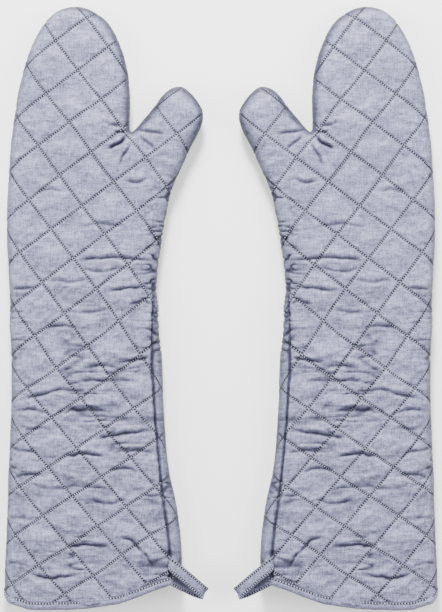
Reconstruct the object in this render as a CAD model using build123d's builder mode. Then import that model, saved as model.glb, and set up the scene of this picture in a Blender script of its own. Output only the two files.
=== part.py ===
"""A pair of long quilted oven mitts, lying flat side by side with their palms up.

Millimetres, +Z up. The origin is at the bottom centre of the pair: X runs across the pair, and Y runs from the
hems towards the fingertips. The left mitt is modelled first, from plan coordinates: x from the outer edge of
its cuff and y from the lowest point of its hem. The right mitt is its mirror image.

Each mitt is a flattened tube of nested layers: outer fabric, wadding and lining. Flex grooves divide it into the
cuff, the hand, the finger pocket and the thumb, which turn on one another where a hand bends.
"""

import os
from math import cos, radians, sin, tan

from build123d import *

# Overall sizes.
LENGTH = 609.6
PAIR_WIDTH = 438.8
HEIGHT = 28.0
TOP_EDGE_RADIUS = 14.0
BOTTOM_EDGE_RADIUS = 6.5
SEAM_HEIGHT = 7.0

# Layers, from the outside in.
OUTER_THICKNESS = 0.8
WADDING_THICKNESS = 4.4
LINING_THICKNESS = 0.6
WADDING_INSET = OUTER_THICKNESS
LINING_INSET = WADDING_INSET + WADDING_THICKNESS
CAVITY_INSET = LINING_INSET + LINING_THICKNESS

# Plan outline: corners (x, y), each with the radius that rounds it.
BELOW_HEM = -60.0
CUFF_WIDTH = 180.5
OUTLINE = [
    ((0, BELOW_HEM), 15),
    ((0, 40), 500),
    ((7, 235), 300),
    ((1.5, 400), 350),
    ((17, 545), 150),
    ((42, LENGTH), 36),
    ((97, LENGTH), 38),
    ((128.5, 548), 80),
    ((128.5, 483), 3),
    ((168.5, 529.6), 15),
    ((187, 529.6), 15),
    ((204.5, 497), 13),
    ((170, 418), 90),
    ((153.5, 320), 150),
    ((165, 150), 200),
    ((CUFF_WIDTH, 62), 100),
    ((CUFF_WIDTH, BELOW_HEM), 15),
]

# Hem: the cuff's open end follows a shallow curve that is lowest near the outer edge.
HEM_CURVE = [(-20, 8.3), (48, 0), (190, 36.3)]
BINDING_WIDTH = 9.0
BINDING_THICKNESS = 1.0
BINDING_INSET = CAVITY_INSET + 0.6
HEM_STITCH_FROM_EDGE = 7.0

# Threads lie flush in grooves.
THREAD_WIDTH = 0.8
THREAD_DEPTH = 0.5

# Flex grooves. Each hinge axis lies across the mitt, at AXIS_HEIGHT.
AXIS_HEIGHT = 17.0
HALF_GAP = 0.4
SWING_MARGIN = 1.0
WRIST_LINE = (85.0, 365.0)
FINGER_LINE = (52.0, 508.0)
THUMB_LINE = (171.0, 476.9)
THUMB_LEAN = -29.0
WRIST_UP = 45.0
WRIST_DOWN = 30.0
FINGER_UP = 70.0
THUMB_UP = 50.0

# Hanging loop: a folded tape that leaves the side seam just above the hem.
LOOP_ROOT = (169.8, 39.9)
LOOP_LEAN = -33.0
LOOP_REACH = 33.0
LOOP_WIDTH = 12.5
LOOP_THICKNESS = 1.2
LOOP_ROOT_RADIUS = 1.6
LOOP_TIP_RADIUS = 5.6
LOOP_HEIGHT = 29.9
LOOP_STITCH_FROM_EDGE = 2.0


def place(x, y, z=0.0):
    """A point of the left mitt's plan, in the pair's frame."""
    return (x - PAIR_WIDTH / 2, y - LENGTH / 2, z)


def pillow(inset):
    """The whole left mitt as one rounded solid, inset from its outer surface."""
    with BuildPart() as body:
        with BuildSketch(Plane.XY.offset(inset)) as plan:
            Polygon(*[place(*corner)[:2] for corner, _ in OUTLINE], align=None)
            for corner, radius in OUTLINE:
                fillet(plan.vertices().sort_by_distance(place(*corner, inset))[0], radius)
            if inset:
                offset(amount=-inset, kind=Kind.INTERSECTION)
        extrude(amount=HEIGHT - 2 * inset)
        fillet(body.edges().group_by(Axis.Z)[-1], TOP_EDGE_RADIUS - inset)
        fillet(body.edges().group_by(Axis.Z)[0], BOTTOM_EDGE_RADIUS - inset)
    return body.part


def below_hem(shift):
    """Everything on the open side of the hem curve, moved up the cuff by shift."""
    with BuildPart() as region:
        with BuildSketch(Plane.XY.offset(-5)):
            with BuildLine():
                hem = ThreePointArc(*[place(x, y + shift)[:2] for x, y in HEM_CURVE])
                low_right = place(190, -150)[:2]
                low_left = place(-20, -150)[:2]
                Polyline(hem @ 1, low_right, low_left, hem @ 0)
            make_face()
        extrude(amount=HEIGHT + 10)
    return region.part


def groove(line_point, lean, span, up, down):
    """The clearance for one hinge: a thin gap that opens into a V on each side the mitt folds towards."""
    rise = HEIGHT - AXIS_HEIGHT + 4
    drop = AXIS_HEIGHT + 4
    top = HALF_GAP + rise * tan(radians(up / 2 + SWING_MARGIN))
    bottom = HALF_GAP + (drop * tan(radians(down / 2 + SWING_MARGIN)) if down else 0)
    across = (cos(radians(lean)), sin(radians(lean)), 0)
    section = Plane(origin=place(*line_point, AXIS_HEIGHT), x_dir=(-across[1], across[0], 0), z_dir=across)
    with BuildPart() as cutter:
        with BuildSketch(section):
            Polygon(
                (-HALF_GAP, 0),
                (-bottom, -drop),
                (bottom, -drop),
                (HALF_GAP, 0),
                (top, rise),
                (-top, rise),
                align=None,
            )
        extrude(amount=span / 2, both=True)
    return cutter.part


def teardrop(inset, width):
    """The hanging loop's outline seen from its side, drawn in by inset and extruded to a width."""
    lean = radians(LOOP_LEAN)
    section = Plane(
        origin=place(*LOOP_ROOT, LOOP_HEIGHT),
        x_dir=(cos(lean), sin(lean), 0),
        z_dir=(sin(lean), -cos(lean), 0),
    )
    with BuildPart() as solid:
        with BuildSketch(section):
            Circle(LOOP_ROOT_RADIUS - inset)
            with Locations((LOOP_REACH, 0)):
                Circle(LOOP_TIP_RADIUS - inset)
            make_hull()
        extrude(amount=width / 2, both=True)
    return solid.part


def segment_of(solid):
    """The segment of the mitt that a cut piece belongs to."""
    centre = solid.center()
    wrist = Vector(*place(*WRIST_LINE))
    finger = Vector(*place(*FINGER_LINE))
    thumb = Vector(*place(*THUMB_LINE))
    towards_tip = Vector(-sin(radians(THUMB_LEAN)), cos(radians(THUMB_LEAN)), 0)
    if centre.Y < wrist.Y:
        return "cuff"
    if centre.Y > finger.Y and centre.X < place(132, 0)[0]:
        return "fingers"
    if (centre - thumb).dot(towards_tip) > 0 and centre.X > place(132, 0)[0]:
        return "thumb"
    return "hand"


os.makedirs("parts", exist_ok=True)

# Nested surfaces of the left mitt, open at the hem.
surface = {}
for inset in (0, THREAD_DEPTH, WADDING_INSET, LINING_INSET, CAVITY_INSET, BINDING_INSET):
    surface[inset] = pillow(inset)

hem_end = below_hem(0)
hem_cap = below_hem(BINDING_THICKNESS)
hem_band = below_hem(BINDING_WIDTH)
hem_stitch_top = below_hem(HEM_STITCH_FROM_EDGE + THREAD_WIDTH / 2)
hem_stitch_bottom = below_hem(HEM_STITCH_FROM_EDGE - THREAD_WIDTH / 2)
grooves = [
    groove(WRIST_LINE, 0, 260, WRIST_UP, WRIST_DOWN),
    groove(FINGER_LINE, 0, 160, FINGER_UP, 0),
    groove(THUMB_LINE, THUMB_LEAN, 79, THUMB_UP, 0),
]

# Each layer of the left mitt, whole.
with BuildPart() as palm_outer:
    add(surface[0])
    add(surface[WADDING_INSET], mode=Mode.SUBTRACT)
    add(hem_band, mode=Mode.SUBTRACT)
    split(bisect_by=Plane.XY.offset(SEAM_HEIGHT), keep=Keep.TOP)

with BuildPart() as back_outer:
    add(surface[0])
    add(surface[WADDING_INSET], mode=Mode.SUBTRACT)
    add(hem_band, mode=Mode.SUBTRACT)
    split(bisect_by=Plane.XY.offset(SEAM_HEIGHT), keep=Keep.BOTTOM)

with BuildPart() as palm_wadding:
    add(surface[WADDING_INSET])
    add(surface[LINING_INSET], mode=Mode.SUBTRACT)
    add(hem_cap, mode=Mode.SUBTRACT)
    split(bisect_by=Plane.XY.offset(SEAM_HEIGHT), keep=Keep.TOP)

with BuildPart() as back_wadding:
    add(surface[WADDING_INSET])
    add(surface[LINING_INSET], mode=Mode.SUBTRACT)
    add(hem_cap, mode=Mode.SUBTRACT)
    split(bisect_by=Plane.XY.offset(SEAM_HEIGHT), keep=Keep.BOTTOM)

with BuildPart() as lining:
    add(surface[LINING_INSET])
    add(surface[CAVITY_INSET], mode=Mode.SUBTRACT)
    add(hem_cap, mode=Mode.SUBTRACT)

# The binding wraps the cuff's raw edge: a band outside, a cap over the edge, and a band inside.
with BuildPart() as hem_thread:
    add(surface[0])
    add(surface[THREAD_DEPTH], mode=Mode.SUBTRACT)
    add(hem_stitch_top, mode=Mode.INTERSECT)
    add(hem_stitch_bottom, mode=Mode.SUBTRACT)

with BuildPart() as inner_band:
    add(surface[CAVITY_INSET])
    add(surface[BINDING_INSET], mode=Mode.SUBTRACT)
    add(hem_band, mode=Mode.INTERSECT)

with BuildPart() as edge_cap:
    add(surface[WADDING_INSET])
    add(surface[CAVITY_INSET], mode=Mode.SUBTRACT)
    add(hem_cap, mode=Mode.INTERSECT)

with BuildPart() as hem_binding:
    add(surface[0])
    add(surface[WADDING_INSET], mode=Mode.SUBTRACT)
    add(hem_band, mode=Mode.INTERSECT)
    add(inner_band.part)
    add(edge_cap.part)
    add(hem_end, mode=Mode.SUBTRACT)
    add(hem_thread.part, mode=Mode.SUBTRACT)

with BuildPart() as loop_thread:
    add(teardrop(0, LOOP_WIDTH - 2 * LOOP_STITCH_FROM_EDGE + THREAD_WIDTH))
    add(teardrop(0, LOOP_WIDTH - 2 * LOOP_STITCH_FROM_EDGE - THREAD_WIDTH), mode=Mode.SUBTRACT)
    add(teardrop(THREAD_DEPTH, LOOP_WIDTH), mode=Mode.SUBTRACT)

with BuildPart() as hanging_loop:
    add(teardrop(0, LOOP_WIDTH))
    add(teardrop(LOOP_THICKNESS, LOOP_WIDTH), mode=Mode.SUBTRACT)
    add(loop_thread.part, mode=Mode.SUBTRACT)

# Cut the layers at the flex grooves and sort the pieces by segment.
layers = {
    "palm_outer": palm_outer.part,
    "back_outer": back_outer.part,
    "palm_wadding": palm_wadding.part,
    "back_wadding": back_wadding.part,
    "lining": lining.part,
}
pieces = {
    "hem_binding": hem_binding.part.solids(),
    "hem_thread": hem_thread.part.solids(),
    "hanging_loop": hanging_loop.part.solids(),
    "loop_thread": loop_thread.part.solids(),
}
for layer, whole in layers.items():
    with BuildPart() as cut:
        add(whole)
        for cutter in grooves:
            add(cutter, mode=Mode.SUBTRACT)
    for solid in cut.part.solids():
        pieces.setdefault(f"{segment_of(solid)}_{layer}", []).append(solid)

# Write every piece of the left mitt, and its mirror image in the right one.
for side in ("left", "right"):
    for name, solids in pieces.items():
        with BuildPart() as piece:
            add(solids)
            if side == "right":
                mirror(about=Plane.YZ, mode=Mode.REPLACE)
        piece.part.label = f"{side}_{name}"
        export_step(piece.part, f"parts/{side}_{name}.step")
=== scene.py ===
"""A pair of long quilted oven mitts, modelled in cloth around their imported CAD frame.

The left mitt is made in plan millimetres: x from the outer edge of its cuff, y from the lowest point of its
hem and z up from the floor. The right mitt is its mirror image.
"""

import bpy
import numpy as np
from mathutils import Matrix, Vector
from mathutils.bvhtree import BVHTree


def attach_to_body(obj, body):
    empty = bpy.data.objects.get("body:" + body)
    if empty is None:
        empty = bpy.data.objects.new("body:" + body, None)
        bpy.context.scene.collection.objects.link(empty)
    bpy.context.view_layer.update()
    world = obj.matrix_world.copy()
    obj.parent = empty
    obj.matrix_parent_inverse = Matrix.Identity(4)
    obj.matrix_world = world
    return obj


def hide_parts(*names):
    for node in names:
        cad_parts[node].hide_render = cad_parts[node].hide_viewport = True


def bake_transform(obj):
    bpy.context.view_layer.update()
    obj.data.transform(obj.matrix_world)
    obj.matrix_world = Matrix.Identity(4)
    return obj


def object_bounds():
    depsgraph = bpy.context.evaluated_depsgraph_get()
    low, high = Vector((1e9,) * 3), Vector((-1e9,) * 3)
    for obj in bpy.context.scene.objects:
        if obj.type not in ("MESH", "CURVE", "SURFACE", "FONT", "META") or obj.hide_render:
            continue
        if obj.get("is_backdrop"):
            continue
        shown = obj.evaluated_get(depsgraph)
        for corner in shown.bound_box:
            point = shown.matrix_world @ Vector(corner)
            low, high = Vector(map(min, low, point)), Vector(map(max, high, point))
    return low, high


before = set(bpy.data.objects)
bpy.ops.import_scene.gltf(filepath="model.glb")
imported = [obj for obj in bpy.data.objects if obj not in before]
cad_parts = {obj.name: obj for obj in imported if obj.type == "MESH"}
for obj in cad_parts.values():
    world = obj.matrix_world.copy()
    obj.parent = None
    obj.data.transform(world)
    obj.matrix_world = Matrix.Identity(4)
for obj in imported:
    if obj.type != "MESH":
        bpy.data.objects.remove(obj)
LOW, HIGH = (Vector(corner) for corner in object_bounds())

# ---------------------------------------------------------------------------------------------------------
# Sizes, in millimetres of the left mitt's plan.

LEFT_EDGE = [
    (0, -80), (0, 20), (0.5, 50), (2, 75), (3, 110), (4, 142), (5.5, 172), (6.5, 202), (7, 231), (6.5, 262),
    (5, 291), (5.5, 308), (5, 321), (4, 344), (2.7, 369), (2.2, 391), (3.2, 419), (4.7, 448), (7.2, 478),
    (11, 506), (16, 533), (22, 555), (29, 573), (38, 589), (47, 600), (58.5, 607), (70.5, 609.5), (82.5, 608),
    (94, 602.5), (103, 595.5), (112, 583), (119, 567), (124, 551), (127, 533), (127.7, 514), (127.5, 499),
]
CROTCH = [(127.2, 488), (128.3, 483.2), (131.5, 485)]
THUMB_EDGE = [
    (141.5, 496), (151.5, 508.5), (159.5, 519.5), (167.5, 526.3), (176.5, 528.8), (183, 527.3),
    (190.5, 520.5), (197, 512), (201.3, 504), (202, 496), (199, 486), (193, 474), (186, 460), (178, 442),
]
RIGHT_EDGE = [
    (170.5, 425), (166.5, 409), (163.5, 393), (160.5, 375), (157.5, 355), (155.3, 336), (154.7, 320),
    (156.6, 306), (157, 282), (159.6, 260), (160.8, 235), (161.3, 211), (162.8, 188), (164.7, 159),
    (167.7, 137), (172.6, 115), (176.8, 92), (179.2, 70), (180, 54), (180.2, 30), (180.2, -80),
]
OUTLINE = LEFT_EDGE + CROTCH + THUMB_EDGE + RIGHT_EDGE
HEM = [(-10, 21), (0, 12), (5.5, 5.8), (26, 0.7), (42, 0), (65, 0), (96, 3), (116, 5.7), (136, 12.6),
       (152, 18.8), (166, 24), (176, 28), (190, 35)]
SEAM = [(155, 336), (153.6, 322), (152, 305), (150.6, 291), (150.6, 262), (150.3, 245), (151.7, 222),
        (152.7, 200), (154.7, 182), (156.2, 161), (157.8, 145), (159.8, 125), (161.8, 105), (164.7, 88),
        (166.7, 70), (168.2, 52), (169, 36), (169.8, 20)]
CUFF_WIDTH = 180.2

# Form: the height of the widest line and of the palm, the radii of both edges, how the palm crowns, the
# wall's thickness, how far the floor flattens the back and the height of the hinges.
RIM = 10.0
TOP = 22.5
TOP_ROUND = 17.0
BOTTOM_ROUND = 9.0
CROWN, CROWN_REACH = 2.6, 30
WALL = 4.6
FLATTENED = 2.6
HINGE_HEIGHT = 17.0

# Quilting and stitches.
QUILT_CELL = 38.7
STITCH_PITCH = 2.6
HEM_PITCH = 3.0

# Plan grid.
GRID = 1.25
X0, Y0 = -16.0, -34.0
NX, NY = 187, 526


def interpolate(points, value):
    """Piecewise linear y of x through (x, y) points."""
    points = sorted(points)
    return np.interp(value, [p[0] for p in points], [p[1] for p in points])


def smoothstep(low, high, value):
    t = np.clip((value - low) / (high - low), 0, 1)
    return t * t * (3 - 2 * t)


def catmull(points, per_span, closed):
    """A smooth curve through points."""
    p = np.array(points, float)
    count = len(p)
    out = []
    for i in range(count if closed else count - 1):
        pick = [i - 1, i, i + 1, i + 2]
        pick = [k % count if closed else min(max(k, 0), count - 1) for k in pick]
        a, b, c, d = (p[k] for k in pick)
        for t in np.arange(per_span) / per_span:
            out.append(0.5 * (2 * b + (c - a) * t + (2 * a - 5 * b + 4 * c - d) * t**2
                              + (3 * b - a - 3 * c + d) * t**3))
    if not closed:
        out.append(p[-1])
    return np.array(out)


def segment_distance(x, y, line, closed=False):
    """Distance from each point to a polyline, and the place along it of the nearest point, from 0 to 1."""
    a = line
    b = np.roll(line, -1, axis=0)
    if not closed:
        a, b = a[:-1], b[:-1]
    best = np.full(x.shape, 1e9)
    along = np.zeros(x.shape)
    for k in range(len(a)):
        run = b[k] - a[k]
        t = np.clip(((x - a[k, 0]) * run[0] + (y - a[k, 1]) * run[1]) / max(run @ run, 1e-9), 0, 1)
        dist = np.hypot(x - a[k, 0] - t * run[0], y - a[k, 1] - t * run[1])
        nearer = dist < best
        best = np.where(nearer, dist, best)
        along = np.where(nearer, (k + t) / len(a), along)
    return best, along


def inside(x, y, loop):
    """Even and odd crossings of a closed loop."""
    odd = np.zeros(x.shape, bool)
    for a, b in zip(loop, np.roll(loop, -1, axis=0)):
        if a[1] == b[1]:
            continue
        span = (a[1] > y) != (b[1] > y)
        odd ^= span & (x < (b[0] - a[0]) * (y - a[1]) / (b[1] - a[1]) + a[0])
    return odd


def hem_y(x):
    """The hem's place along the cuff."""
    return interpolate(HEM, x)


# Distance inside the outline, kept on a plan grid.
gx, gy = np.meshgrid(X0 + GRID * np.arange(NX), Y0 + GRID * np.arange(NY), indexing="ij")
loop = catmull(OUTLINE, 5, True)
dist, _ = segment_distance(gx, gy, loop, True)
DEPTH = np.where(inside(gx, gy, loop), dist, -dist)
SLOPE_X, SLOPE_Y = np.gradient(DEPTH, GRID)


def sample(field, x, y):
    """Bilinear value of a plan grid."""
    i = np.clip((x - X0) / GRID, 0, NX - 1.001)
    j = np.clip((y - Y0) / GRID, 0, NY - 1.001)
    i0, j0 = i.astype(int), j.astype(int)
    u, v = i - i0, j - j0
    return ((field[i0, j0] * (1 - u) + field[i0 + 1, j0] * u) * (1 - v)
            + (field[i0, j0 + 1] * (1 - u) + field[i0 + 1, j0 + 1] * u) * v)


def noise(x, y, size, seed):
    """Smooth value noise between -1 and 1, the same on every run."""
    rng = np.random.default_rng(seed)
    table = rng.uniform(-1, 1, (256, 256))
    u, v = x / size + 500, y / size + 500
    i, j = np.floor(u).astype(int), np.floor(v).astype(int)
    fu, fv = u - i, v - j
    fu, fv = fu * fu * (3 - 2 * fu), fv * fv * (3 - 2 * fv)
    i0, j0, i1, j1 = i % 256, j % 256, (i + 1) % 256, (j + 1) % 256
    return ((table[i0, j0] * (1 - fu) + table[i1, j0] * fu) * (1 - fv)
            + (table[i0, j1] * (1 - fu) + table[i1, j1] * fu) * fv)


# ---------------------------------------------------------------------------------------------------------
# Quilting: lattice coordinates (p, q) whose whole numbers are the stitch lines.

FIRST_NODE = (52.9, 573.4)
BEND_ROW = 12
ROW_DROP = 26.7
LATE_ROW_DROP = 24.7
BEND_DROP = 320.4
DIAGONAL = 27.0


def row_lean(s):
    """How far each node of a row lies below its left neighbour."""
    return 2.9 + 2.1 * smoothstep(7, 13, s)


def row_shift(s):
    """How far a row starts to the left of the first node."""
    return 4.46 * np.minimum(s, BEND_ROW) + 2.05 * np.maximum(s - BEND_ROW, 0)


def quilt_coordinates(x, y):
    """Lattice coordinates of plan points, found by repeated correction."""
    drop = FIRST_NODE[1] - y
    s = drop / ROW_DROP
    t = np.zeros_like(s)
    for _ in range(5):
        t = (x - FIRST_NODE[0] + row_shift(s)) / DIAGONAL
        depth = drop - row_lean(s) * t
        s = np.where(depth < BEND_DROP, depth / ROW_DROP, BEND_ROW + (depth - BEND_DROP) / LATE_ROW_DROP)
    return (s + t) / 2, (s - t) / 2


def quilt_place(p, q):
    """The plan point of lattice coordinates, the inverse of quilt_coordinates."""
    s, t = p + q, p - q
    x = FIRST_NODE[0] - row_shift(s) + DIAGONAL * t
    depth = np.where(s < BEND_ROW, s * ROW_DROP, BEND_DROP + (s - BEND_ROW) * LATE_ROW_DROP) + row_lean(s) * t
    return x, FIRST_NODE[1] - depth


def stitch_distance(p, q):
    """Distance from the nearest stitch line."""
    return np.minimum(np.abs(p - np.round(p)), np.abs(q - np.round(q))) * QUILT_CELL


def palm_lattice(x, y):
    """Lattice coordinates on the palm, where the stitch lines wander a little."""
    return quilt_coordinates(x + noise(x, y, 34, 3), y + noise(x, y, 34, 4))


def back_lattice(x, y):
    """Lattice coordinates on the back, whose lattice is shifted from the palm's."""
    return quilt_coordinates(x + 13.5 + noise(x, y, 34, 43), y + 9 + noise(x, y, 34, 44))


# The repeating patch of puffed fabric: cells each way, and steps along a cell.
CELLS = 8
STEPS = 18


def simulate_quilt():
    """A patch of fabric, larger than the frame of stitch lines that holds it, puffed up by the wadding."""
    count = CELLS * STEPS + 1
    pitch = 0.0387 / STEPS
    i, j = np.meshgrid(np.arange(count), np.arange(count), indexing="ij")
    rng = np.random.default_rng(7)
    ripple = sum(0.0004 * noise(i * pitch * 1000, j * pitch * 1000, size, 20 + size) for size in (5, 9, 16))
    puff = np.abs(np.sin(np.pi * i / STEPS) * np.sin(np.pi * j / STEPS)) ** 0.5
    stitched = (i % STEPS == 0) | (j % STEPS == 0)
    z = np.where(stitched, 0, 0.0015 * puff + ripple * puff + rng.uniform(-5e-5, 5e-5, i.shape))
    index = i * count + j
    faces = np.stack([index[:-1, :-1], index[1:, :-1], index[1:, 1:], index[:-1, 1:]], -1).reshape(-1, 4)
    mesh = bpy.data.meshes.new("quilt_patch")
    mesh.from_pydata(np.stack([i * pitch, j * pitch, z], -1).reshape(-1, 3).tolist(), [], faces.tolist())
    patch = bpy.data.objects.new("quilt_patch", mesh)
    bpy.context.scene.collection.objects.link(patch)
    group = patch.vertex_groups.new(name="stitched")
    group.add(np.flatnonzero(stitched.ravel()).tolist(), 1.0, "REPLACE")
    cloth = patch.modifiers.new("cloth", "CLOTH")
    settings = cloth.settings
    settings.quality = 5
    settings.mass = 0.15
    settings.tension_stiffness = settings.compression_stiffness = 12
    settings.shear_stiffness = 4
    settings.bending_stiffness = 0.02
    settings.air_damping = 2
    settings.vertex_group_mass = "stitched"
    settings.shrink_min = -0.045
    settings.use_pressure = True
    settings.uniform_pressure_force = 1.2
    settings.effector_weights.gravity = 0
    cloth.collision_settings.use_collision = False
    scene = bpy.context.scene
    first = scene.frame_current
    for step in range(1, 23):
        scene.frame_set(step)
    shaped = patch.evaluated_get(bpy.context.evaluated_depsgraph_get())
    co = np.zeros(count * count * 3)
    shaped.data.vertices.foreach_get("co", co)
    height = co.reshape(count, count, 3)[..., 2]
    scene.frame_set(first)
    bpy.data.objects.remove(patch)
    return height[:-1, :-1] * 1000


PATCH = simulate_quilt()
PATCH = np.clip(PATCH, -1.0, 6.0)
PATCH = PATCH * (3.4 / max(np.percentile(PATCH, 95), 0.1))


def quilt_height(p, q):
    """Height of the simulated patch, repeated over the lattice."""
    size = CELLS * STEPS
    u, v = (p * STEPS) % size, (q * STEPS) % size
    i, j = np.floor(u).astype(int) % size, np.floor(v).astype(int) % size
    fu, fv = u - np.floor(u), v - np.floor(v)
    i1, j1 = (i + 1) % size, (j + 1) % size
    return ((PATCH[i, j] * (1 - fu) + PATCH[i1, j] * fu) * (1 - fv)
            + (PATCH[i, j1] * (1 - fu) + PATCH[i1, j1] * fu) * fv)


# ---------------------------------------------------------------------------------------------------------
# Creases on the palm side: (points, width, depth).

CREASES = [
    ([(126, 478), (116, 470), (106, 463)], 1.6, 3.6),
    ([(127, 484), (118, 481), (110, 482)], 1.4, 2.2),
    ([(129, 470), (122, 459), (116, 446)], 1.8, 1.8),
    ([(134, 486), (148, 482), (164, 480)], 2.0, 1.6),
    ([(136, 478), (146, 470), (153, 462)], 2.0, 1.2),
    ([(122, 434), (134, 430), (146, 437)], 2.2, 1.6),
    ([(100, 492), (112, 488), (122, 489)], 2.2, 1.0),
    ([(74, 353), (110, 355), (156, 351)], 2.4, 1.8),
    ([(80, 344), (100, 341), (121, 346)], 1.8, 1.0),
    ([(45, 333), (66, 331), (89, 334)], 2.0, 1.3),
    ([(8, 325), (20, 324), (33, 326)], 1.8, 1.2),
    ([(102, 320), (125, 324), (152, 327)], 2.0, 1.8),
    ([(126, 308), (138, 311), (151, 309)], 1.6, 1.3),
    ([(78, 243), (98, 246), (120, 243)], 2.2, 1.2),
    ([(116, 251), (134, 252), (150, 255)], 2.0, 2.2),
    ([(11, 211), (36, 216), (58, 222), (75, 221)], 2.2, 1.7),
    ([(54, 198), (80, 202), (114, 199)], 2.2, 1.6),
    ([(92, 173), (110, 176), (130, 179), (153, 180)], 2.2, 2.4),
    ([(60, 154), (80, 158), (104, 154)], 2.2, 2.4),
    ([(104, 159), (130, 161), (155, 159)], 2.0, 1.5),
    ([(106, 140), (122, 143), (138, 139)], 2.0, 1.4),
    ([(3, 93), (14, 94), (26, 92)], 1.8, 1.3),
    ([(64, 63), (82, 66), (108, 64)], 2.2, 2.4),
    ([(117, 74), (133, 68), (153, 42)], 2.2, 1.8),
    ([(1, 47), (14, 48), (26, 44)], 1.8, 1.2),
    ([(22, 39), (42, 33), (60, 34), (80, 37)], 2.2, 1.9),
    ([(86, 112), (104, 108), (126, 112)], 2.0, 1.2),
    ([(30, 126), (52, 122), (74, 125)], 2.0, 1.0),
    ([(36, 283), (58, 287), (84, 284)], 2.2, 1.0),
    ([(60, 303), (84, 300), (112, 304)], 2.0, 0.9),
    ([(30, 420), (48, 424), (66, 420)], 2.2, 0.7),
    ([(70, 386), (98, 389), (130, 384)], 2.2, 0.8),
    ([(20, 180), (38, 184), (52, 181)], 2.0, 0.9),
    ([(8, 200), (28, 202), (50, 198)], 2.0, 1.4),
    ([(4, 165), (18, 161), (36, 158)], 2.0, 1.6),
    ([(8, 134), (26, 137), (46, 136)], 2.0, 1.1),
    ([(142, 117), (150, 115), (158, 116)], 1.8, 1.6),
]


def crease_field():
    """Height of every crease on the plan grid, with soft ridges beside it, and the narrow line of shade
    painted along it.
    """
    total, line_shade = np.zeros_like(DEPTH), np.zeros_like(DEPTH)
    for number, (points, width, depth) in enumerate(CREASES):
        line = catmull(points, 6, False)
        low, high = line.min(0) - 14, line.max(0) + 14
        i0, i1 = max(int((low[0] - X0) / GRID), 0), min(int((high[0] - X0) / GRID) + 2, NX)
        j0, j1 = max(int((low[1] - Y0) / GRID), 0), min(int((high[1] - Y0) / GRID) + 2, NY)
        x, y = gx[i0:i1, j0:j1], gy[i0:i1, j0:j1]
        x = x + 1.2 * noise(x, y, 9, 60 + number)
        y = y + noise(x, y, 7, 90 + number)
        off, along = segment_distance(x, y, line)
        fade = smoothstep(0, 0.3, along) * smoothstep(1, 0.7, along)
        width = 0.75 * width
        upper, _ = segment_distance(x, y - 2.6 * width, line)
        lower, _ = segment_distance(x, y + 2.6 * width, line)
        total[i0:i1, j0:j1] += depth * fade * (
            -1.15 * np.exp(-((off / width) ** 2)) + 0.45 * np.exp(-((upper / (1.5 * width)) ** 2))
            + 0.25 * np.exp(-((lower / (1.7 * width)) ** 2)))
        # Painted shade: a dark line along each crease, stronger for deeper creases.
        painted_crease_shade = min(1.2, 0.45 + depth / 2.6) * fade * np.exp(-((off / 1.25) ** 2))
        line_shade[i0:i1, j0:j1] = np.maximum(line_shade[i0:i1, j0:j1], painted_crease_shade)
    return total, line_shade


seam_line = catmull(SEAM, 4, False)


def seam_offset(x, y):
    """How far a point lies outside the side seam, and how strongly the seam shows there."""
    at = np.interp(y, seam_line[::-1, 1], seam_line[::-1, 0])
    return x - at, smoothstep(334, 306, y)


CREASE, CREASE_SHADE = crease_field()


def wrinkle_net(x, y, tall, long, seed):
    """Thin valleys that run mostly across the mitt, in patches."""
    n = noise(x * tall / long, y + 0.8 * noise(x, y, 11, seed + 2), tall, seed)
    patch = smoothstep(-0.05, 0.45, noise(x * 0.6, y, 24, seed + 1))
    return np.exp(-((n / 0.13) ** 2)) * patch


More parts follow.
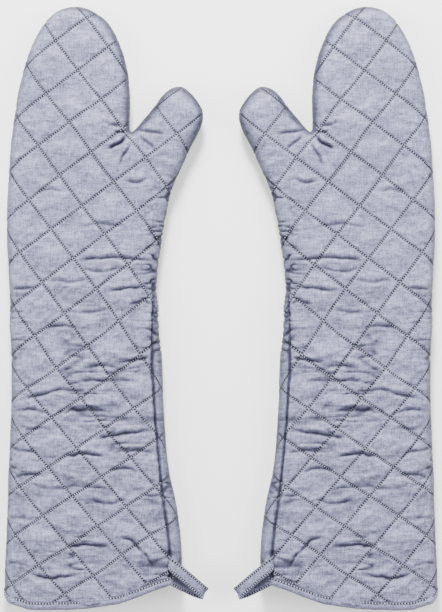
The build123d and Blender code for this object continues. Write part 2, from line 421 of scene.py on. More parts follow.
def top_relief(x, y, depth):
    """Relief of the palm side over its smooth form, at unrolled plan points, and the shade painted on it."""
    p, q = palm_lattice(x, y)
    outside, shows = seam_offset(x, y)
    strip = smoothstep(0, 1.5, outside) * shows
    edge = smoothstep(0, 12, depth)
    swell = 1 + 0.22 * noise(x, y, 55, 5)
    lower = smoothstep(350, 240, y)
    puff = 0.6 + 0.2 * lower
    relief = puff * quilt_height(p, q) * swell * (0.12 + 0.88 * edge) * (1 - 0.75 * strip)
    nearest = stitch_distance(p, q)
    away = smoothstep(0.6, 5.0, nearest)
    ripples = noise(x * 0.35, y, 5.2, 11) * 0.30 + noise(x * 0.6, y * 1.1, 3.1, 12) * 0.22
    relief = relief + ripples * (0.3 + 0.7 * away) * (0.35 + 0.65 * lower) * (0.3 + 0.7 * edge)
    drawn = sample(CREASE, x, y)
    relief = relief + drawn * (0.4 + 0.6 * edge)
    relief = relief + 0.6 * noise(x * 0.5, y, 21, 13) * edge
    right = smoothstep(96, 150, x) * smoothstep(440, 410, y)
    gathered = right * smoothstep(215, 285, y) * 1.5 * np.exp(-np.maximum(depth, 0) / 13.0)
    gathered = np.minimum(gathered, 1.0)
    net = wrinkle_net(x, y, 5.5, 46, 101) * (0.08 + 0.8 * lower)
    fine = wrinkle_net(x, y, 3.6, 22, 111) * (0.06 + 0.4 * lower)
    tucks = np.exp(-((noise(x * 0.24, y, 4.8, 121) / 0.16) ** 2)) * gathered
    ties = np.exp(-((noise(x * 0.3, y, 5.4, 131) / 0.2) ** 2)) * np.exp(-np.maximum(depth, 0) / 7.0)
    soft = 0.35 + 0.65 * smoothstep(-2, 5, depth)
    relief = relief - (1.7 * net + 0.8 * fine + 2.4 * tucks + 0.6 * ties) * soft
    groove = np.exp(-((nearest / 0.9) ** 2)) * (1 - strip)
    relief = relief - 0.9 * groove * soft
    seam = np.exp(-((outside / 1.1) ** 2)) * shows
    relief = relief - 3.6 * seam + np.exp(-(((outside + 3.6) / 2.0) ** 2)) * shows
    pull = np.exp(-(((x - 90) / 34) ** 2) - ((y - 448) / 26) ** 2)
    # Painted shade: in the wrinkles, tucks, ties and creases, and along the side seam.
    shade = 0.9 * net + 0.45 * fine + 1.2 * tucks + 0.35 * ties + sample(CREASE_SHADE, x, y)
    shade = shade + 1.7 * np.exp(-((outside / 1.7) ** 2)) * shows
    # Painted shade along the stitch lines, bolder where pull lies, and a band of painted shade inside the
    # rim, darker at the finger tips.
    drawn_in = np.exp(-((nearest / 1.4) ** 2)) * (1 - strip)
    tips = smoothstep(440, 500, y) * smoothstep(40, 80, x)
    shade = shade + (0.16 + 0.9 * pull) * drawn_in + (0.8 + 0.5 * tips) * smoothstep(8 + 2 * tips, -1, depth)
    return relief, p, q, seam, np.clip(shade, 0, 1)


def bottom_relief(x, y, depth):
    """Relief of the back, which lies on the floor: its puffs are pressed flat. It also gives the shade
    painted in its wrinkles and along its rim.
    """
    p, q = back_lattice(x, y)
    nearest = stitch_distance(p, q)
    relief = np.minimum(0.82 * quilt_height(p + 3, q + 2), 2.4) * (0.3 + 0.7 * smoothstep(0, 10, depth))
    net = wrinkle_net(x, y, 5.5, 40, 141)
    relief = relief + noise(x * 0.45, y, 5.2, 51) * 0.3 - 0.9 * net
    relief = relief + 0.6 * noise(x * 0.5, y, 21, 53) - 0.8 * np.exp(-((nearest / 0.9) ** 2))
    # Painted shade in the wrinkles and along the rim.
    shade = 0.45 * net + 0.5 * smoothstep(6, 0, depth)
    return relief, p, q, np.zeros_like(x), np.clip(shade, 0, 1)


# ---------------------------------------------------------------------------------------------------------
# The mitt's form.

def form(x, y, z, inset):
    """Negative inside the mitt's smooth form, drawn in by inset."""
    depth = sample(DEPTH, x, y) - inset
    crown = CROWN * (1 - np.exp(-np.maximum(depth, 0) / CROWN_REACH)) + 0.8 * noise(x, y, 80, 8)
    top = TOP + crown - inset - RIM
    bottom = RIM - inset
    round_top = TOP_ROUND - 0.6 * inset
    round_bottom = BOTTOM_ROUND - 0.6 * inset
    upper = np.hypot(np.maximum(round_top - depth, 0) / round_top, np.maximum(z - RIM, 0) / top) - 1
    lower = np.hypot(np.maximum(round_bottom - depth, 0) / round_bottom, np.maximum(RIM - z, 0) / bottom) - 1
    return np.where(z > RIM, upper * 0.5 * (top + round_top), lower * 0.5 * (bottom + round_bottom))


EDGES = [((0, 0, 0), axis) for axis in range(3)]
EDGES += [((1, 0, 0), 1), ((1, 0, 0), 2), ((0, 1, 0), 0), ((0, 1, 0), 2), ((0, 0, 1), 0), ((0, 0, 1), 1)]
EDGES += [((1, 1, 0), 2), ((1, 0, 1), 1), ((0, 1, 1), 0)]


def surface_net(inset, step):
    """A quad mesh of the form's surface."""
    xs = np.arange(-4, 208, step)
    ys = np.arange(-24, 616, step)
    zs = np.arange(-3, 33, step)
    x, y, z = np.meshgrid(xs, ys, zs, indexing="ij")
    value = form(x, y, z, inset)
    shape = np.array(value.shape) - 1
    total = np.zeros((*shape, 3))
    hits = np.zeros(shape)

    def corner(offset):
        return value[tuple(slice(o, o + n) for o, n in zip(offset, shape))]

    for start, axis in EDGES:
        end = list(start)
        end[axis] += 1
        a, b = corner(start), corner(end)
        cross = (a < 0) != (b < 0)
        t = np.where(cross, a / np.where(cross, a - b, 1), 0)
        for k in range(3):
            total[..., k] += cross * (start[k] + (t if k == axis else 0))
        hits += cross
    cells = hits > 0
    index = np.full(shape, -1)
    index[cells] = np.arange(cells.sum())
    verts = (np.argwhere(cells) + total[cells] / hits[cells][:, None]) * step + (xs[0], ys[0], zs[0])
    solid = value < 0
    quads = []
    for axis in range(3):
        b, c = (axis + 1) % 3, (axis + 2) % 3
        near = np.delete(solid, -1, axis)
        far = np.delete(solid, 0, axis)
        spots = np.argwhere(near != far)
        good = (spots[:, b] > 0) & (spots[:, c] > 0)
        good &= (spots[:, b] < shape[b]) & (spots[:, c] < shape[c])
        spots = spots[good]
        outward = near[tuple(spots.T)]
        ring = []
        for db, dc in ((-1, -1), (0, -1), (0, 0), (-1, 0)):
            cell = spots.copy()
            cell[:, b] += db
            cell[:, c] += dc
            ring.append(index[tuple(cell.T)])
        ring = np.stack(ring, -1)
        quads.append(np.where(outward[:, None], ring, ring[:, ::-1]))
    return verts, np.concatenate(quads)


def vertex_normals(verts, quads):
    """Each vertex's normal, weighted by the size of its faces."""
    across = verts[quads[:, 2]] - verts[quads[:, 0]]
    along = verts[quads[:, 3]] - verts[quads[:, 1]]
    face = np.cross(across, along)
    normals = np.zeros_like(verts)
    for k in range(quads.shape[1]):
        np.add.at(normals, quads[:, k], face)
    return normals / np.maximum(np.linalg.norm(normals, axis=1, keepdims=True), 1e-12)


def unroll(x, y, z, inset):
    """Plan points of the cloth laid flat: over the rounded edge the cloth is longer than its plan."""
    depth = sample(DEPTH, x, y) - inset
    above = z > RIM
    bend = np.where(above, TOP_ROUND, BOTTOM_ROUND)
    lean = np.clip(1 - depth / bend, 0, 1)
    extra = bend * (np.arcsin(lean) - lean)
    return x - sample(SLOPE_X, x, y) * extra, y - sample(SLOPE_Y, x, y) * extra, depth


def cloth_surface(inset, step, share):
    """The form with its relief: vertices, quads, normals, lattice coordinates and painted shade."""
    verts, quads = surface_net(inset, step)
    x, y, z = verts.T
    normals = vertex_normals(verts, quads)
    ux, uy, depth = unroll(x, y, z, inset)
    top, top_p, top_q, top_strip, top_shade = top_relief(ux, uy, depth)
    low, low_p, low_q, low_strip, low_shade = bottom_relief(ux, uy, depth)
    above = smoothstep(RIM - 1.5, RIM + 1.5, z)
    relief = above * top + (1 - above) * (low - FLATTENED)
    seam = np.exp(-(((z - RIM + 0.3) / 1.1) ** 2)) * np.exp(-np.maximum(depth, 0) / 3.0)
    _, strip_shows = seam_offset(x, y)
    right = smoothstep(100, 140, x)
    relief = relief - 1.5 * seam * (1 - strip_shows * right)
    verts = verts + normals * (relief * share)[:, None]
    verts[:, 2] = np.maximum(verts[:, 2], 0.25 + inset * 0.8)
    upper = z > RIM
    lattice = np.stack([np.where(upper, top_p, low_p), np.where(upper, top_q, low_q),
                        np.where(upper, top_strip, low_strip)], -1)
    keep = verts[:, 1] > hem_y(verts[:, 0]) + 4.0
    quads = quads[keep[quads].all(1)]
    # Painted shade, deeper where the relief sinks into hollows.
    hollow = smoothstep(1.2, -2.6, relief)
    shade = np.clip(np.where(upper, top_shade, low_shade) + 0.35 * hollow, 0, 1)
    return verts, quads, vertex_normals(verts, quads), lattice, shade


# ---------------------------------------------------------------------------------------------------------
# Splitting by body, and the two mitts.

def zone(x, y):
    """0 for the gauntlet, 1 for the finger pocket, 2 for the thumb. Borders lie where the hand is rigid."""
    thumb = (0.792 * (x - 131.2) + 0.609 * (y - 474.6) > 0) & (x > 127.5)
    fingers = (y > 478) & (x <= 129) & ~thumb
    fingers = fingers | ((y > 487) & (x < 130))
    return np.where(fingers, 1, np.where(thumb, 2, 0))


ZONES = ("gauntlet", "fingers", "thumb")


def place(side, points):
    """Plan millimetres to the pair's frame in metres."""
    points = np.asarray(points, float)
    out = np.empty_like(points)
    out[..., 0] = LOW.x + points[..., 0] / 1000
    if side == "right":
        out[..., 0] = LOW.x + HIGH.x - out[..., 0]
    out[..., 1] = LOW.y + points[..., 1] / 1000
    out[..., 2] = points[..., 2] / 1000
    return out


def mesh_piece(name, verts, faces, material, side="left", normals=None, attributes=None):
    """A mesh object in the pair's frame. The right mitt's faces are turned over with its mirroring."""
    points = place(side, verts)
    faces = np.asarray(faces)
    if side == "right":
        faces = faces[:, ::-1]
    mesh = bpy.data.meshes.new(name)
    mesh.from_pydata(points.tolist(), [], faces.tolist())
    mesh.materials.append(material)
    mesh.shade_smooth()
    for label, values in (attributes or {}).items():
        values = np.asarray(values, np.float32)
        kind = "FLOAT_VECTOR" if values.ndim == 2 else "FLOAT"
        layer = mesh.attributes.new(label, kind, "POINT")
        layer.data.foreach_set("vector" if values.ndim == 2 else "value", values.ravel())
    if normals is not None:
        turned = normals.copy()
        if side == "right":
            turned[:, 0] *= -1
        mesh.normals_split_custom_set_from_vertices(turned.tolist())
    piece = bpy.data.objects.new(name, mesh)
    bpy.context.scene.collection.objects.link(piece)
    return piece


def attach(piece, side, part):
    """Bakes a zone's piece into its place; the hinge points that it works out are not used."""
    def point(x, y):
        return tuple(place(side, (x, y, HINGE_HEIGHT)))
    if part == "gauntlet":
        point(85, 335)
        point(85, 395)
        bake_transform(piece)
    elif part == "fingers":
        point(64, 488)
        point(64, 528)
        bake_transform(piece)
    else:
        point(164.2, 464.7)
        point(178.3, 490.0)
        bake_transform(piece)


def split_faces(verts, faces):
    """The zone of each face."""
    centre = verts[faces].mean(1)
    return zone(centre[:, 0], centre[:, 1])


def take(verts, faces, chosen, *others):
    """The chosen faces with only their own vertices."""
    faces = faces[chosen]
    used, compact = np.unique(faces, return_inverse=True)
    return (verts[used], compact.reshape(faces.shape), *[other[used] for other in others])


# ---------------------------------------------------------------------------------------------------------
# Materials.

def nodes_of(name):
    """A new material, its node tree and its shader."""
    material = bpy.data.materials.new(name)
    material.use_nodes = True
    tree = material.node_tree
    shader = tree.nodes["Principled BSDF"]
    return material, tree, shader


class Graph:
    """Short names for building a node tree."""

    def __init__(self, tree):
        self.tree = tree

    def add(self, kind, **values):
        node = self.tree.nodes.new(kind)
        for key, value in values.items():
            setattr(node, key, value)
        return node

    def link(self, a, b):
        self.tree.links.new(a, b)

    def put(self, socket, value):
        if isinstance(value, bpy.types.NodeSocket):
            self.link(value, socket)
        else:
            socket.default_value = value

    def math(self, operation, *inputs, clamp=False):
        node = self.add("ShaderNodeMath", operation=operation, use_clamp=clamp)
        for socket, value in zip(node.inputs, inputs):
            self.put(socket, value)
        return node.outputs[0]

    def noise(self, vector, scale, detail=2.0, roughness=0.5):
        node = self.add("ShaderNodeTexNoise")
        self.link(vector, node.inputs["Vector"])
        node.inputs["Scale"].default_value = scale
        node.inputs["Detail"].default_value = detail
        node.inputs["Roughness"].default_value = roughness
        return node.outputs["Fac"]

    def stretch(self, vector, scale):
        node = self.add("ShaderNodeMapping")
        self.link(vector, node.inputs["Vector"])
        node.inputs["Scale"].default_value = scale
        return node.outputs["Vector"]

    def remap(self, value, low, high, to_low, to_high):
        node = self.add("ShaderNodeMapRange")
        for socket, item in zip(node.inputs, (value, low, high, to_low, to_high)):
            self.put(socket, item)
        return node.outputs[0]

    def mix(self, factor, a, b, blend="MIX"):
        node = self.add("ShaderNodeMix", data_type="RGBA", blend_type=blend)
        self.put(node.inputs[0], factor)
        self.put(node.inputs[6], a)
        self.put(node.inputs[7], b)
        return node.outputs[2]

    def bump(self, height, strength, distance, normal=None):
        node = self.add("ShaderNodeBump")
        node.inputs["Strength"].default_value = strength
        node.inputs["Distance"].default_value = distance
        self.link(height, node.inputs["Height"])
        if normal is not None:
            self.link(normal, node.inputs["Normal"])
        return node.outputs["Normal"]


# The colours of painted shade: in creases, seams, rims and hollows, along the drawn-in stitch lines and in
# the needle holes.
PAINTED_SHADE_COLOUR = (0.012, 0.012, 0.032, 1)
STITCH_LINE_PAINTED_SHADE = (0.058, 0.058, 0.095, 1)
NEEDLE_HOLE_PAINTED_SHADE = (0.006, 0.006, 0.013, 1)


def woven_material(name, light, dark, rows, thread_mm=0.62, grain=1.0):
    """Plain-weave cotton. Cloth with rows of stitches also gets painted shade: in its needle holes, along its
    drawn-in lines and wherever its shade attribute lies.
    """
    material, tree, shader = nodes_of(name)
    g = Graph(tree)
    where = g.add("ShaderNodeTexCoord").outputs["Object"]
    split = g.add("ShaderNodeSeparateXYZ")
    g.link(where, split.inputs[0])
    frequency = 2 * np.pi / (thread_mm / 1000)
    drift = g.noise(where, 60, 2.0)
    shift = g.math("MULTIPLY", g.math("SUBTRACT", drift, 0.5), 9.0)
    warp = g.math("SINE", g.math("ADD", g.math("MULTIPLY", split.outputs["X"], frequency), shift))
    weft = g.math("SINE", g.math("SUBTRACT", g.math("MULTIPLY", split.outputs["Y"], frequency), shift))
    weave = g.math("MULTIPLY", warp, weft)
    slub_warp = g.noise(g.stretch(where, (760, 90, 240)), 1.0, 2.0, 0.6)
    slub_weft = g.noise(g.stretch(where, (90, 760, 240)), 1.0, 2.0, 0.6)
    blotch = g.noise(where, 38, 4.0, 0.6)
    fleck = g.noise(where, 780, 2.0, 0.7)
    tone = g.math("ADD", g.math("MULTIPLY", slub_warp, 0.42), g.math("MULTIPLY", slub_weft, 0.46))
    tone = g.math("ADD", tone, g.math("MULTIPLY", blotch, 0.14))
    tone = g.math("ADD", tone, g.math("MULTIPLY", fleck, 0.70))
    tone = g.remap(tone, 0.67, 1.03, 0.0, 1.0)
    tone = g.math("ADD", tone, g.math("MULTIPLY", weave, 0.05 * grain))
    colour = g.mix(tone, dark, light)
    height = g.math("ADD", g.math("MULTIPLY", weave, 0.20), g.math("MULTIPLY", slub_warp, 0.5))
    height = g.math("ADD", height, g.math("MULTIPLY", slub_weft, 0.5))
    if rows:
        lattice = g.add("ShaderNodeAttribute", attribute_name="lattice")
        axis = g.add("ShaderNodeSeparateXYZ")
        g.link(lattice.outputs["Vector"], axis.inputs[0])
        holes = lines = None
        for across, along in rows:
            off = g.math("SUBTRACT", axis.outputs[across], g.math("ROUND", axis.outputs[across]))
            off = g.math("MULTIPLY", g.math("ABSOLUTE", off), QUILT_CELL)
            turn = g.math("MULTIPLY", axis.outputs[along], QUILT_CELL / STITCH_PITCH)
            gap = g.math("MULTIPLY", g.math("SUBTRACT", g.math("FRACT", turn), 0.5), STITCH_PITCH)
            radius = g.math("POWER", g.math("ADD", g.math("POWER", off, 2.0), g.math("POWER", gap, 2.0)), 0.5)
            # Needle hole mask: it paints shade into the colour and also lowers the bump height.
            hole = g.remap(radius, 0.95, 1.4, 1.0, 0.0)
            # Mask of the painted shade along each stitch line's groove.
            line = g.remap(off, 0.5, 2.2, 1.0, 0.0)
            holes = hole if holes is None else g.math("MAXIMUM", holes, hole)
            lines = line if lines is None else g.math("MAXIMUM", lines, line)
        plain = g.math("SUBTRACT", 1.0, axis.outputs["Z"], clamp=True)
        holes = g.math("MULTIPLY", holes, plain)
        lines = g.math("MULTIPLY", lines, plain)
        # Painted shade: the shade attribute darkens the colour in creases, seams, rims and hollows.
        shade = g.add("ShaderNodeAttribute", attribute_name="shade")
        colour = g.mix(g.math("MULTIPLY", shade.outputs["Fac"], 0.92), colour, PAINTED_SHADE_COLOUR)
        # Painted shade along the drawn-in stitch lines.
        colour = g.mix(g.math("MULTIPLY", lines, 0.32), colour, STITCH_LINE_PAINTED_SHADE)
        # Painted shade in the needle holes.
        colour = g.mix(g.math("MULTIPLY", holes, 0.97), colour, NEEDLE_HOLE_PAINTED_SHADE)
        height = g.math("SUBTRACT", height, g.math("MULTIPLY", holes, 1.4))
    g.link(colour, shader.inputs["Base Color"])
    g.link(g.bump(height, 0.55 * grain, 0.00022), shader.inputs["Normal"])
    g.link(g.remap(slub_weft, 0.3, 0.7, 0.50, 0.66), shader.inputs["Roughness"])
    shader.inputs["Sheen Weight"].default_value = 0.13
    shader.inputs["Sheen Roughness"].default_value = 0.45
    shader.inputs["Specular IOR Level"].default_value = 0.3
    return material


def thread_material(name, colour):
    """Twisted sewing thread."""
    material, tree, shader = nodes_of(name)
    g = Graph(tree)
    where = g.add("ShaderNodeTexCoord").outputs["Object"]
    twist = g.add("ShaderNodeTexWave")
    g.link(where, twist.inputs["Vector"])
    twist.inputs["Scale"].default_value = 900
    twist.inputs["Distortion"].default_value = 2
    tint = g.noise(where, 300, 3.0, 0.6)
    mixed = g.mix(g.math("ADD", g.math("MULTIPLY", twist.outputs["Fac"], 0.5), g.math("MULTIPLY", tint, 0.5)),
                  tuple(c * 0.6 for c in colour[:3]) + (1,), colour)
    g.link(mixed, shader.inputs["Base Color"])
    g.link(g.bump(twist.outputs["Fac"], 0.4, 0.0001), shader.inputs["Normal"])
    shader.inputs["Roughness"].default_value = 0.6
    shader.inputs["Sheen Weight"].default_value = 0.2
    return material


SILVER, SHADOW = (0.276, 0.278, 0.418, 1), (0.070, 0.071, 0.129, 1)
OUTER = woven_material("quilted_silver_cotton", SILVER, SHADOW, (("X", "Y"), ("Y", "X")))
TRIM = woven_material("silver_cotton_tape", SILVER, SHADOW, (("X", "Y"),))
LINING = woven_material("cotton_lining", (0.50, 0.475, 0.43, 1), (0.37, 0.35, 0.305, 1), (), 0.8, 0.8)
THREAD = thread_material("grey_thread", (0.47, 0.475, 0.60, 1))

# ---------------------------------------------------------------------------------------------------------
# Cloth surfaces.

outer = cloth_surface(0.0, 1.35, 1.0)
lining = cloth_surface(WALL, 2.6, 0.45)

outer_zone = split_faces(outer[0], outer[1])
lining_zone = split_faces(lining[0], lining[1])
REPLACED = {
    "gauntlet": ("cuff", "hand"),
    "fingers": ("fingers",),
    "thumb": ("thumb",),
}
for side in ("left", "right"):
    for number, part in enumerate(ZONES):
        verts, faces, normals, lattice, shade = take(
            outer[0], outer[1], outer_zone == number, outer[2], outer[3], outer[4])
        shell = mesh_piece(f"{side}_{part}_quilted_fabric", verts, faces, OUTER, side, normals,
                           {"lattice": lattice, "shade": shade})
        nodes = [f"{side}_{s}_{layer}" for s in REPLACED[part]
                 for layer in ("palm_outer", "back_outer", "palm_wadding", "back_wadding")]
        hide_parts(*nodes)
        attach(shell, side, part)

        verts, faces, normals = take(lining[0], lining[1], lining_zone == number, lining[2])
        inner = mesh_piece(f"{side}_{part}_lining", verts, faces[:, ::-1], LINING, side, -normals)
        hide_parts(*[f"{side}_{s}_lining" for s in REPLACED[part]])
        attach(inner, side, part)

# ---------------------------------------------------------------------------------------------------------
# Stitches: one capsule per stitch, laid on the cloth.

tree = BVHTree.FromPolygons(outer[0].tolist(), outer[1].tolist())


def capsule(length, radius, sides=6):
    """A small rod with rounded ends, along x."""
    rings = [(-0.5, 0.0), (-0.42, 0.75), (-0.2, 1.0), (0.2, 1.0), (0.42, 0.75), (0.5, 0.0)]
    verts = []
    for at, size in rings:
        for k in range(sides):
            a = 2 * np.pi * k / sides
            verts.append((at * length, radius * size * np.cos(a), radius * size * np.sin(a)))
    faces = []
    for r in range(len(rings) - 1):
        for k in range(sides):
            n = (k + 1) % sides
            faces.append((r * sides + k, (r + 1) * sides + k, (r + 1) * sides + n, r * sides + n))
    return np.array(verts), np.array(faces)


def lay_stitches(points, tangents, length, radius, lift, below=False):
    """Capsules on the cloth at plan points. Returns their vertices, faces and plan centres."""
    base, quads = capsule(length, radius)
    verts, faces, centres = [], [], []
    count = 0
    for (x, y), (tx, ty) in zip(points, tangents):
        start = Vector((x, y, -50 if below else 80))
        hit, normal, _, _ = tree.ray_cast(start, Vector((0, 0, 1 if below else -1)))
        if hit is None:
            continue
        if normal.z * (-1 if below else 1) < 0.15:
            continue
        forward = Vector((tx, ty, 0))
        forward = (forward - normal * forward.dot(normal)).normalized()
        sideways = normal.cross(forward)
        matrix = np.array([forward, sideways, normal])
        verts.append(base @ matrix + np.array(hit) + np.array(normal) * lift)
        faces.append(quads + count)
        centres.append((hit.x, hit.y))
        count += len(base)
    return np.concatenate(verts), np.concatenate(faces), np.array(centres)


def quilt_stitches(below):
    """Plan centres and directions of the quilting stitches on one side."""
    points, tangents = [], []
    pitch = STITCH_PITCH / QUILT_CELL
    for family in (0, 1):
        for line in range(-4, 18):
            along = np.arange(-9, 17, pitch)
            fixed = np.full_like(along, float(line))
            ends = []
            for step in (0.0, 0.02):
                pair = (fixed, along + step) if family == 0 else (along + step, fixed)
                x, y = quilt_place(*pair)
                for _ in range(3):
                    ex, ey = quilt_place(*(back_lattice(x, y) if below else palm_lattice(x, y)))
                    wx, wy = quilt_place(*pair)
                    x, y = x + wx - ex, y + wy - ey
                ends.append(np.stack([x, y], -1))
            run = ends[1] - ends[0]
            run /= np.linalg.norm(run, axis=1, keepdims=True)
            points.append(ends[0])
            tangents.append(run)
    points, tangents = np.concatenate(points), np.concatenate(tangents)
    depth = sample(DEPTH, points[:, 0], points[:, 1])
    keep = (depth > 4.5) & (points[:, 1] > hem_y(points[:, 0]) + 10) & (points[:, 1] < 606)
    if not below:
        outside, shows = seam_offset(points[:, 0], points[:, 1])
        keep &= ~((outside > -1.2) & (shows > 0.2))
    return points[keep], tangents[keep]


for below in (False, True):
    label = "back" if below else "palm"
    points, tangents = quilt_stitches(below)
    verts, faces, centres = lay_stitches(points, tangents, length=1.1, radius=0.44, lift=0.16, below=below)
    owner = np.repeat(zone(centres[:, 0], centres[:, 1]), len(verts) // len(centres))
    face_owner = owner[faces[:, 0]]
    for side in ("left", "right"):
        for number, part in enumerate(ZONES):
            v, f = take(verts, faces, face_owner == number)
            stitches = mesh_piece(f"{side}_{part}_{label}_quilting", v, f, THREAD, side)
            attach(stitches, side, part)

# ---------------------------------------------------------------------------------------------------------
# Hem binding, with its stitches.

def hem_section(count=150):
    """Points round the cuff, from the outer rim over the palm and back under, with outward directions."""
    out = []
    for upper in (True, False):
        bend = TOP_ROUND if upper else BOTTOM_ROUND
        left, right = 0.0, CUFF_WIDTH
        arc = bend * np.pi / 2
        flat = right - left - 2 * bend
        length = 2 * arc + flat
        for at in np.arange(count) / count * length:
            if at < arc:
                turn = at / bend
                x, nx, nz = left + bend * (1 - np.cos(turn)), -np.cos(turn), np.sin(turn)
            elif at < arc + flat:
                x, nx, nz = left + bend + at - arc, 0.0, 1.0
            else:
                turn = (length - at) / bend
                x, nx, nz = right - bend * (1 - np.cos(turn)), np.cos(turn), np.sin(turn)
            crown = CROWN * (1 - np.exp(-min(x - left, right - x) / CROWN_REACH))
            height = (TOP + crown - RIM) if upper else RIM
            up = 1 if upper else -1
            normal = np.array([nx * height, 0, up * nz * bend])
            normal /= np.linalg.norm(normal)
            out.append((x, RIM + height * nz * up, normal[0], normal[2]))
    half = len(out) // 2
    return np.array(out[:half] + out[half:][::-1])


section = hem_section()
BAND = [
    (9.4, -1.2), (9.3, 0.6), (8.9, 1.3), (8.1, 1.5), (7.3, 0.95), (6.7, 0.9), (5.9, 1.5), (4.6, 1.65),
    (3.0, 1.5), (1.6, 1.0), (0.6, 0.0), (0.1, -1.2), (0.1, -2.8), (0.7, -4.1), (2.0, -4.9), (5.0, -5.2),
    (8.5, -5.0), (11.5, -4.7),
]
STITCH_ROW = 4
rows = []
for up, out in BAND:
    proud = out * (0.45 + 0.55 * np.abs(section[:, 3])) if out > 0 else out
    x = section[:, 0] + section[:, 2] * proud
    y = hem_y(section[:, 0]) + up + 0.5 * noise(section[:, 0], section[:, 1], 14, 71)
    ruffle = 0.28 * noise(section[:, 0], section[:, 1] + up * 0.6, 5.0, 72) * (1 if out > -1 else 0.5)
    swell = 0.9 * noise(section[:, 0], section[:, 1], 24, 73)
    z = section[:, 1] + section[:, 3] * (proud + ruffle + swell * (section[:, 1] > RIM))
    z = np.maximum(z, 0.15 + max(0.0, -out) * (section[:, 1] < RIM) * 0.9)
    rows.append(np.stack([x, y, z], -1))
count = len(section)
verts = np.concatenate(rows)
faces = []
for r in range(len(BAND) - 1):
    for k in range(count):
        n = (k + 1) % count
        faces.append((r * count + k, r * count + n, (r + 1) * count + n, (r + 1) * count + k))
faces = np.array(faces)
hem_row = rows[STITCH_ROW]
hem_next = np.roll(hem_row, -1, axis=0)
hem_points, hem_runs, hem_outs = [], [], []
spare = 0.0
for k in range(count):
    run = hem_next[k] - hem_row[k]
    size = np.linalg.norm(run)
    while spare < size:
        hem_points.append(hem_row[k] + run * spare / size)
        hem_runs.append(run / size)
        hem_outs.append(np.array([section[k, 2], 0, section[k, 3]]))
        spare += HEM_PITCH
    spare -= size
base, quads = capsule(1.5, 0.5)
stitch_verts, stitch_faces = [], []
for k, (at, run, out) in enumerate(zip(hem_points, hem_runs, hem_outs)):
    matrix = np.array([run, np.cross(out, run), out])
    at = at + out * 0.3
    at[2] = max(at[2], 0.5)
    stitch_verts.append(base @ matrix + at)
    stitch_faces.append(quads + k * len(base))
hem_travel = np.concatenate([[0], np.cumsum(np.linalg.norm(np.diff(hem_row, axis=0), axis=1))])
hem_lattice, hem_shade = [], []
for up, out in BAND:
    off = (up - BAND[STITCH_ROW][0]) / QUILT_CELL if out > -1 else 0.4
    turns = hem_travel / HEM_PITCH * STITCH_PITCH / QUILT_CELL
    hem_lattice.append(np.stack([np.full(count, off), turns, np.zeros(count)], -1))
    # Painted shade at the band's top edge, where it meets the mitt, and along its lower rim.
    dark = 1.0 if up > 8.6 and out > -1.5 else 0.75 if up < 0.8 and out > -2 else 0.0
    hem_shade.append(np.full(count, dark))
hem_attributes = {"lattice": np.concatenate(hem_lattice), "shade": np.concatenate(hem_shade)}
for side in ("left", "right"):
    binding = mesh_piece(f"{side}_hem_binding_tape", verts, faces, TRIM, side, None, hem_attributes)
    smooth = binding.modifiers.new("smooth", "SUBSURF")
    smooth.levels = smooth.render_levels = 1
    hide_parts(f"{side}_hem_binding")
    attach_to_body(binding, f"{side}_cuff")
    dashes = mesh_piece(f"{side}_hem_stitches", np.concatenate(stitch_verts), np.concatenate(stitch_faces),
                        THREAD, side)
    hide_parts(f"{side}_hem_thread")
    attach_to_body(dashes, f"{side}_cuff")

# ---------------------------------------------------------------------------------------------------------
# Hanging loop: a tape that leaves the seam, folds over at its tip and comes back underneath.

LOOP_PATH = [
    (166.0, 48.6, 21.5), (169.6, 46.4, 26.6), (176.0, 41.2, 28.6), (186.0, 32.9, 28.2), (195.0, 24.9, 27.4),
    (200.5, 20.0, 26.2), (202.6, 17.6, 24.4), (200.8, 17.4, 22.8), (194.0, 19.4, 22.4), (185.5, 23.4, 22.6),
    (177.0, 27.6, 22.8), (170.0, 31.0, 21.8), (165.0, 33.6, 18.5),
]
LOOP_ACROSS = [
    (0.10, 1.0, 0.02), (0.12, 1.0, 0.0), (0.45, 0.89, 0.0), (0.55, 0.83, 0.0), (0.50, 0.86, 0.0),
    (0.46, 0.89, 0.0), (0.45, 0.89, 0.0), (0.44, 0.90, 0.0), (0.42, 0.91, 0.0), (0.38, 0.92, 0.0),
    (0.30, 0.95, 0.0), (0.15, 1.0, 0.0), (0.10, 1.0, 0.0),
]
path = catmull(LOOP_PATH, 8, False)
across = catmull(LOOP_ACROSS, 8, False)
along = np.gradient(path, axis=0)
along /= np.linalg.norm(along, axis=1, keepdims=True)
across -= along * (across * along).sum(1, keepdims=True)
across /= np.linalg.norm(across, axis=1, keepdims=True)
facing = np.cross(along, across)
LOOP_STITCH_LINE = 4.4
LOOP_FIRST_STITCH = 5.0
TAPE = [
    (-6.3, 0.0), (-6.1, 0.5), (-5.2, 0.65), (-4.4, 0.4), (-3.6, 0.6), (0.0, 0.55), (3.6, 0.6), (4.4, 0.4),
    (5.2, 0.65), (6.1, 0.5), (6.3, 0.0), (6.1, -0.5), (5.2, -0.65), (4.4, -0.4), (3.6, -0.6), (0.0, -0.55),
    (-3.6, -0.6), (-4.4, -0.4), (-5.2, -0.65), (-6.1, -0.5),
]
rings = []
for u, v in TAPE:
    wave = 0.25 * noise(path[:, 0] + u, path[:, 1] + v, 4.0, 81)
    rings.append(path + across * u - facing * (v + wave)[:, None])
rings = np.stack(rings, 1)
length, around = rings.shape[:2]
faces = []
for r in range(length - 1):
    for k in range(around):
        n = (k + 1) % around
        faces.append((r * around + k, (r + 1) * around + k, (r + 1) * around + n, r * around + n))
loop_faces = np.array(faces)
loop_verts = rings.reshape(-1, 3)
travel = np.concatenate([[0], np.cumsum(np.linalg.norm(np.diff(path, axis=0), axis=1))])
under = smoothstep(0.47, 0.56, travel / travel[-1])
loop_lattice, loop_shade = [], []
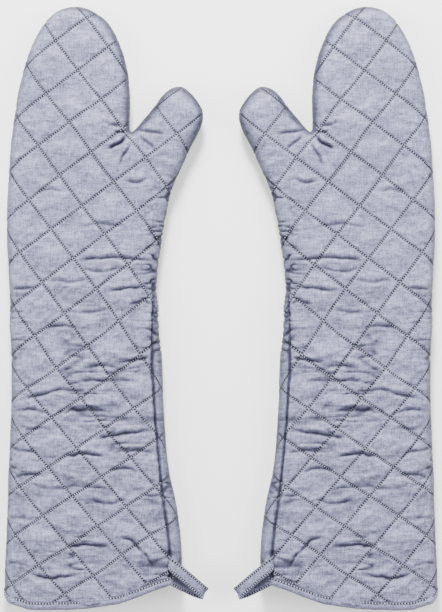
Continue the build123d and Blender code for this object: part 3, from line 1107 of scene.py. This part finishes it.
for u, v in TAPE:
    off = np.full(length, (LOOP_STITCH_LINE - abs(u)) / QUILT_CELL)
    loop_lattice.append(np.stack([off, (travel - LOOP_FIRST_STITCH) / QUILT_CELL, np.zeros(length)], -1))
    # Painted shade where the folded-back leg lies under the upper leg, and along both edges of the tape.
    loop_shade.append(np.clip(smoothstep(-5, 1, u) * under * 0.9 + 0.6 * smoothstep(5.4, 6.3, abs(u)), 0, 1))
loop_attributes = {
    "lattice": np.stack(loop_lattice, 1).reshape(-1, 3),
    "shade": np.stack(loop_shade, 1).ravel(),
}
loop_stitches, loop_stitch_faces = [], []
base, quads = capsule(1.2, 0.45)
for row, face in ((-1, 1), (1, 1), (-1, -1), (1, -1)):
    for at in np.arange(LOOP_FIRST_STITCH, travel[-1] - LOOP_FIRST_STITCH, STITCH_PITCH):
        where = np.array([np.interp(at, travel, path[:, k]) for k in range(3)])
        run = np.array([np.interp(at, travel, along[:, k]) for k in range(3)])
        wide = np.array([np.interp(at, travel, across[:, k]) for k in range(3)])
        out = np.cross(run, wide) * face
        matrix = np.array([run, wide * face, out])
        loop_stitch_faces.append(quads + len(loop_stitches) * len(base))
        loop_stitches.append(base @ matrix + where + wide * row * LOOP_STITCH_LINE + out * 0.5)
for side in ("left", "right"):
    start = tuple(place(side, (170.0, 42.0, 26.0)))
    end = tuple(place(side, (178.0, 36.0, 26.0)))
    tape = mesh_piece(f"{side}_loop_tape", loop_verts, loop_faces[:, ::-1], TRIM, side, None, loop_attributes)
    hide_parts(f"{side}_hanging_loop")
    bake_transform(tape)
    dashes = mesh_piece(f"{side}_loop_stitches", np.concatenate(loop_stitches),
                        np.concatenate(loop_stitch_faces), THREAD, side)
    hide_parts(f"{side}_loop_thread")
    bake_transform(dashes)

# ---------------------------------------------------------------------------------------------------------
# Floor, light and camera.

floor_material, floor_tree, floor_shader = nodes_of("white_paper")
floor_graph = Graph(floor_tree)
floor_where = floor_graph.add("ShaderNodeTexCoord").outputs["Object"]
floor_tone = floor_graph.noise(floor_where, 3.0, 2.0)
floor_graph.link(floor_graph.mix(floor_tone, (0.93, 0.93, 0.93, 1), (0.96, 0.96, 0.96, 1)),
                 floor_shader.inputs["Base Color"])
floor_shader.inputs["Roughness"].default_value = 0.9
floor_shader.inputs["Specular IOR Level"].default_value = 0.1
floor_shader.inputs["Emission Color"].default_value = (1, 1, 1, 1)
floor_shader.inputs["Emission Strength"].default_value = 0.3
bpy.ops.mesh.primitive_plane_add(size=8, location=(0, 0, -0.0008))
floor = bpy.context.object
floor.name = "floor"
floor.data.materials.append(floor_material)
floor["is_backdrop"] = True


def area_light(name, location, target, size, energy, colour=(1, 1, 1)):
    data = bpy.data.lights.new(name, "AREA")
    data.size = size
    data.energy = energy
    data.color = colour
    lamp = bpy.data.objects.new(name, data)
    lamp.location = location
    aim = Vector(target) - Vector(location)
    lamp.rotation_euler = aim.to_track_quat("-Z", "Y").to_euler()
    bpy.context.scene.collection.objects.link(lamp)
    return lamp


area_light("key", (-0.15, 1.9, 1.15), (0, 0, 0), 0.5, 178)
area_light("fill_left", (-1.6, 0.1, 1.2), (0, 0, 0), 1.0, 30)
area_light("fill_right", (1.6, 0.1, 1.2), (0, 0, 0), 1.0, 30)

world = bpy.data.worlds.new("studio")
world.use_nodes = True
world.node_tree.nodes["Background"].inputs[0].default_value = (1, 1, 1, 1)
world.node_tree.nodes["Background"].inputs[1].default_value = 0.76
bpy.context.scene.world = world

DISTANCE = 1.8
camera_data = bpy.data.cameras.new("camera")
camera_data.sensor_width = 36
camera_data.lens = 36 * DISTANCE / 0.6203
camera = bpy.data.objects.new("camera", camera_data)
camera.location = (0, 0.0015, DISTANCE + RIM / 1000)
bpy.context.scene.collection.objects.link(camera)
bpy.context.scene.camera = camera
